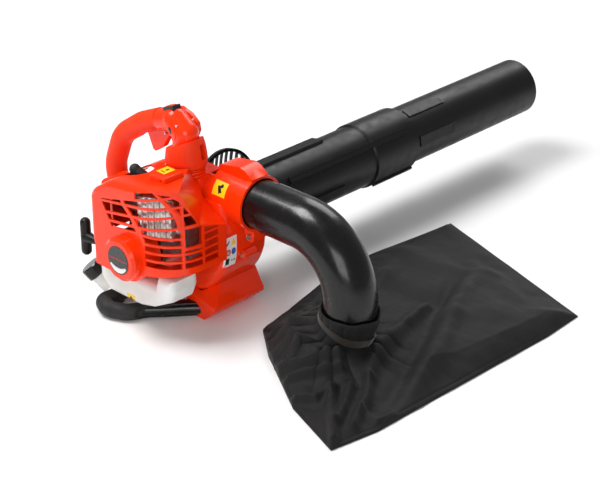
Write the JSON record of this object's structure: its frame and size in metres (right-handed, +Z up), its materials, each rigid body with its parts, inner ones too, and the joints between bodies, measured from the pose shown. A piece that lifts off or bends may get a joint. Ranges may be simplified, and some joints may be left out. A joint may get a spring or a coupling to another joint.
{
  "type": "hand-held petrol blower vacuum",
  "caption": "Hand-held petrol blower-vacuum: engine and fan unit with handle, suction tube, elbow duct and a cloth collection bag.",
  "frame": {"origin": "middle of the whole object's footprint, at the level of the surface it rests on", "axes": "+Y along the crank axis towards the suction tube, +X along the outlet duct, +Z up"},
  "size_m": [0.7284, 1.091, 0.3833],
  "materials": {
    "orange_gloss": "glossy red-orange moulded shell",
    "orange_soft": "matt soft-touch overmould",
    "black_gloss": "glossy black moulding",
    "black_tube": "satin fine-grained black",
    "black_soft": "matt soft grip",
    "bag_cloth": "black woven nylon",
    "tank_white": "translucent natural polyethylene",
    "badge": "dark printed disc without lettering",
    "switch_red": "red switch",
    "switch_black": "black surround",
    "cast_alloy": "cast alloy",
    "steel": "turned steel",
    "muffler_plate": "pressed sheet, heat tinted",
    "filter_foam": "oiled foam",
    "rope_cord": "braided cord"
  },
  "bodies": {
    "machine": {"fan_housing_inner": "orange_gloss", "fan_housing_outer": "orange_gloss", "housing_screws": "steel", "bearing_near": "steel", "bearing_far": "steel", "crankcase": "cast_alloy", "cylinder": "cast_alloy", "piston": "cast_alloy", "piston_pin": "steel", "connecting_rod": "steel", "spark_plug": "steel", "spark_plug_boot": "black_soft", "ignition_coil": "badge", "muffler": "muffler_plate", "exhaust_outlet": "steel", "muffler_heat_shield": "muffler_plate", "intake_insulator": "black_tube", "carburettor": "cast_alloy", "air_filter_element": "filter_foam", "air_filter_cover": "orange_gloss", "engine_cover": "orange_gloss", "starter_housing": "orange_gloss", "badge_disc": "badge", "recoil_spring": "steel", "rope_guide": "black_gloss", "fuel_tank": "tank_white", "fuel_line": "black_soft", "fuel_filter": "filter_foam", "foot_shoe": "orange_gloss", "aux_handle_frame": "black_gloss", "aux_grip_sleeve": "black_soft", "handle_shell_near": "orange_gloss", "handle_shell_far": "orange_gloss", "handle_screws": "steel", "grip_sleeve": "orange_soft", "handle_collar": "orange_soft", "trigger_pin": "steel", "switch_bezel": "switch_black", "guard_hinge_pin": "steel"},
    "crank": {"crankshaft": "steel", "flywheel": "cast_alloy", "impeller": "black_tube", "impeller_nut": "steel"},
    "pulley": {"starter_pulley": "black_tube"},
    "pull_grip": {"starter_grip": "black_tube", "starter_rope": "rope_cord"},
    "trigger": {"throttle_trigger": "orange_gloss"},
    "lever": {"cruise_lever": "orange_gloss"},
    "switch": {"stop_switch": "switch_red"},
    "guard": {"intake_guard": "black_tube"},
    "upper_tube": {"suction_tube_upper": "black_tube"},
    "lower_tube": {"suction_tube_lower": "black_tube"},
    "elbow": {"elbow_tube": "black_gloss", "bag": "bag_cloth", "bag_strap": "bag_cloth"},
    "cap": {"fuel_cap": "black_gloss"},
    "primer": {"primer_bulb": "black_soft"},
    "choke": {"choke_lever": "black_tube"},
    "clamp": {"clamp_screw": "steel"}
  },
  "joints": [
    {"name": "crank_spin", "type": "hinge", "parent": "machine", "child": "crank", "pos_m": [-0.16579, -0.4385, 0.15], "axis": [0, 1, 0], "continuous": true},
    {"name": "starter_pull", "type": "slide", "parent": "machine", "child": "pull_grip", "axis": [-1, 0, 0], "range_m": [0, 0.6], "stiffness_N_per_m": 8, "springref_m": -0.6},
    {"name": "pulley_spin", "type": "hinge", "parent": "machine", "child": "pulley", "pos_m": [-0.16579, -0.4855, 0.15], "axis": [0, 1, 0], "range_deg": [-5, 1400]},
    {"name": "throttle_squeeze", "type": "hinge", "parent": "machine", "child": "trigger", "pos_m": [-0.19579, -0.3835, 0.33], "axis": [0, 1, 0], "range_deg": [0, 15], "stiffness_Nm_per_rad": 0.6, "springref_deg": -17.19},
    {"name": "cruise_lever_turn", "type": "hinge", "parent": "machine", "child": "lever", "pos_m": [-0.17179, -0.3545, 0.336], "axis": [0, 1, 0], "range_deg": [-40, 0]},
    {"name": "stop_switch_rock", "type": "hinge", "parent": "machine", "child": "switch", "pos_m": [-0.18908, -0.3835, 0.3713], "axis": [0, 1, 0], "range_deg": [-7, 7]},
    {"name": "guard_swing", "type": "hinge", "parent": "machine", "child": "guard", "pos_m": [-0.26033, -0.2765, 0.13333], "axis": [-0.1736, 0, 0.9848], "range_deg": [-3, 60]},
    {"name": "upper_tube_twist", "type": "hinge", "parent": "machine", "child": "upper_tube", "pos_m": [-0.16579, -0.2685, 0.15], "axis": [0, 1, 0], "range_deg": [0, 30]},
    {"name": "lower_tube_twist", "type": "hinge", "parent": "upper_tube", "child": "lower_tube", "pos_m": [-0.16579, 0.1115, 0.15], "axis": [0, 1, 0], "range_deg": [0, 30]},
    {"name": "elbow_pull", "type": "slide", "parent": "machine", "child": "elbow", "axis": [1, 0, 0], "range_m": [0, 0.055]},
    {"name": "fuel_cap_turn", "type": "hinge", "parent": "machine", "child": "cap", "pos_m": [-0.29279, -0.4925, 0.072], "axis": [-0.5219, -0.4014, 0.7527], "range_deg": [0, 300]},
    {"name": "primer_press", "type": "slide", "parent": "machine", "child": "primer", "axis": [0, 0, 1], "range_m": [0, 0.003], "stiffness_N_per_m": 400},
    {"name": "choke_turn", "type": "hinge", "parent": "machine", "child": "choke", "pos_m": [-0.23779, -0.4445, 0.21], "axis": [0, 0, 1], "range_deg": [0, 50]},
    {"name": "clamp_screw_turn", "type": "hinge", "parent": "machine", "child": "clamp", "pos_m": [-0.03879, -0.3335, 0.171], "axis": [0, 1, 0], "range_deg": [0, 350]}
  ],
  "couplings": [
    {"joint": "pulley_spin", "follows": "starter_pull", "rad_per_m": 38.835}
  ]
}
